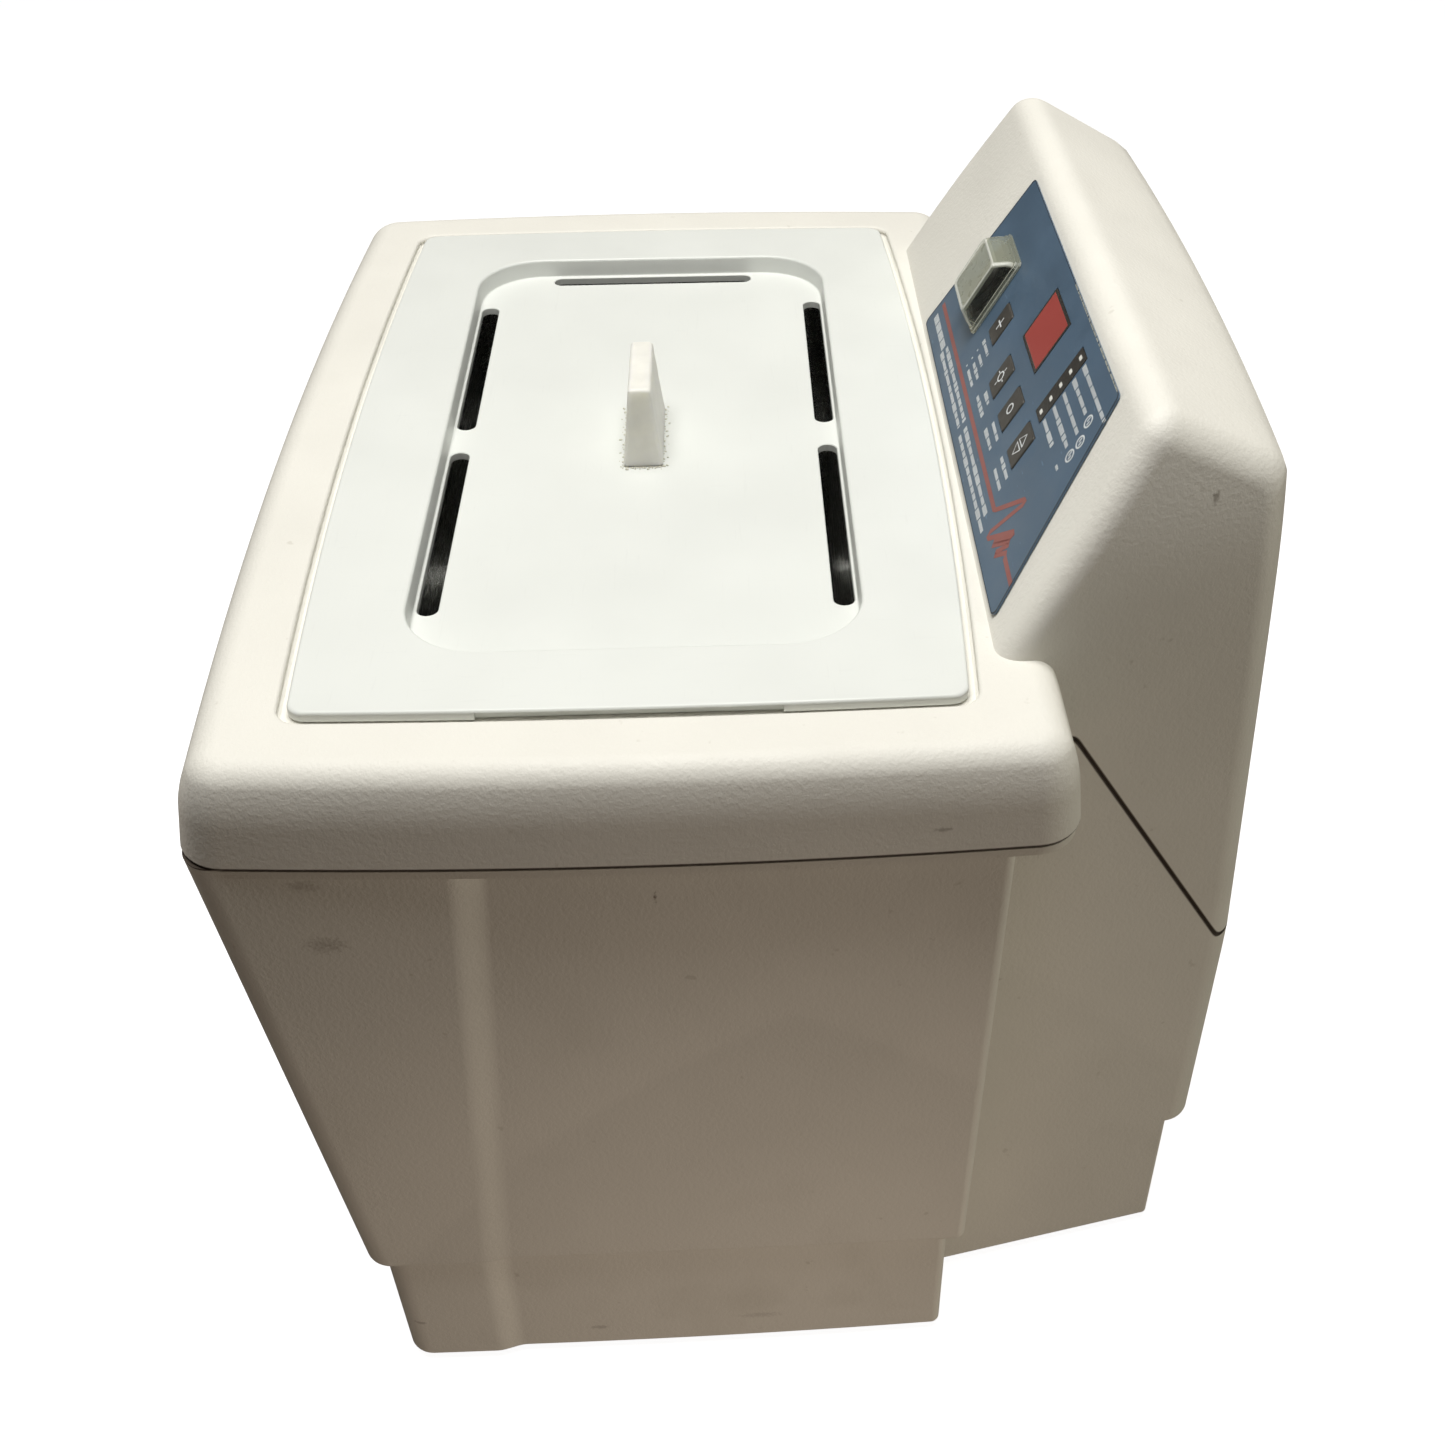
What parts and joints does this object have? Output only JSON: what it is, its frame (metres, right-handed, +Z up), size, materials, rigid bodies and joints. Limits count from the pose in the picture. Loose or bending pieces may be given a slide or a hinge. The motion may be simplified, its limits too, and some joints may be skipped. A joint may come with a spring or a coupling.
{
  "type": "heated ultrasonic bath",
  "caption": "Bench-top heated ultrasonic water bath: moulded two-part housing, steel tank, lift-off slotted cover with finger grip, sloping rear control console and side drain valve.",
  "frame": {"origin": "middle of the footprint, on the bench surface under the feet", "axes": "+X to the right seen from the front, -Y towards the user, +Y towards the control console, +Z up"},
  "size_m": [0.4, 0.3524, 0.3871],
  "materials": {
    "housing": "pebbled warm off-white structural-foam moulding",
    "cover": "smooth satin off-white moulding",
    "handle": "off-white satin moulding",
    "stainless": "pressed stainless sheet",
    "aluminium": "turned or extruded, plain",
    "steel": "zinc-plated steel",
    "brass": "machined",
    "ceramic": "fired piezo ceramic rings",
    "rubber": "black moulded rubber",
    "silicone_clear": "translucent silicone",
    "silicone_heater": "orange-red silicone heating mat",
    "overlay": "slate-blue printed film",
    "key": "dark grey key",
    "red_window": "red display filter",
    "dark_window": "smoked lamp window",
    "black_plastic": "black moulding",
    "board": "green circuit board",
    "lamp": "clear lamp lens",
    "tubing": "milky drain tubing"
  },
  "bodies": {
    "root": {"lower_housing": "housing", "upper_housing": "housing", "tank": "stainless", "drain_fitting": "stainless", "drain_nut": "stainless", "transducer_1_front_mass": "aluminium", "transducer_2_front_mass": "aluminium", "heat_sink": "aluminium", "transducer_1_rear_mass": "steel", "transducer_2_rear_mass": "steel", "transducer_1_bolt": "steel", "transducer_2_bolt": "steel", "tank_clip_1": "steel", "tank_clip_2": "steel", "tank_clip_3": "steel", "tank_clip_4": "steel", "base_plate": "steel", "base_screw_1": "steel", "base_screw_2": "steel", "base_screw_3": "steel", "base_screw_4": "steel", "temperature_sensor": "brass", "drain_wall_nut": "brass", "drain_valve_body": "brass", "transducer_1_piezo_stack": "ceramic", "transducer_2_piezo_stack": "ceramic", "tank_gasket": "rubber", "foot_front_left": "rubber", "foot_front_right": "rubber", "foot_rear_left": "rubber", "foot_rear_right": "rubber", "switch_boot": "silicone_clear", "heater_pad_front": "silicone_heater", "heater_pad_rear": "silicone_heater", "control_overlay": "overlay", "display_window": "red_window", "indicator_window": "dark_window", "transformer": "black_plastic", "capacitor_1": "black_plastic", "capacitor_2": "black_plastic", "mains_inlet": "black_plastic", "fuse_drawer": "black_plastic", "display_module": "black_plastic", "switch_body": "black_plastic", "generator_board": "board", "control_board": "board", "indicator_lamps": "lamp", "drain_tube": "tubing"},
    "cover": {"lid": "cover", "lid_handle": "handle"},
    "rocker": {"switch_rocker": "black_plastic"},
    "key_1": {"key_1": "key"},
    "key_2": {"key_2": "key"},
    "key_3": {"key_3": "key"},
    "key_4": {"key_4": "key"},
    "drain_lever": {"drain_lever": "black_plastic"}
  },
  "joints": [
    {"name": "lid_lift", "type": "slide", "parent": "root", "child": "cover", "axis": [0, 0, 1], "range_m": [0, 0.12]},
    {"name": "rocker_tilt", "type": "hinge", "parent": "root", "child": "rocker", "pos_m": [-0.0305, 0.09212, 0.3525], "axis": [1, 0, 0], "range_deg": [0, 14]},
    {"name": "key_1_press", "type": "slide", "parent": "root", "child": "key_1", "axis": [0, 0.866, -0.5], "range_m": [0, 0.0005], "stiffness_N_per_m": 400, "springref_m": -0.0005},
    {"name": "key_2_press", "type": "slide", "parent": "root", "child": "key_2", "axis": [0, 0.866, -0.5], "range_m": [0, 0.0005], "stiffness_N_per_m": 400, "springref_m": -0.0005},
    {"name": "key_3_press", "type": "slide", "parent": "root", "child": "key_3", "axis": [0, 0.866, -0.5], "range_m": [0, 0.0005], "stiffness_N_per_m": 400, "springref_m": -0.0005},
    {"name": "key_4_press", "type": "slide", "parent": "root", "child": "key_4", "axis": [0, 0.866, -0.5], "range_m": [0, 0.0005], "stiffness_N_per_m": 400, "springref_m": -0.0005},
    {"name": "drain_lever_turn", "type": "hinge", "parent": "root", "child": "drain_lever", "pos_m": [-0.189, 0.08915, 0.105], "axis": [1, 0, 0], "range_deg": [0, 90]}
  ]
}
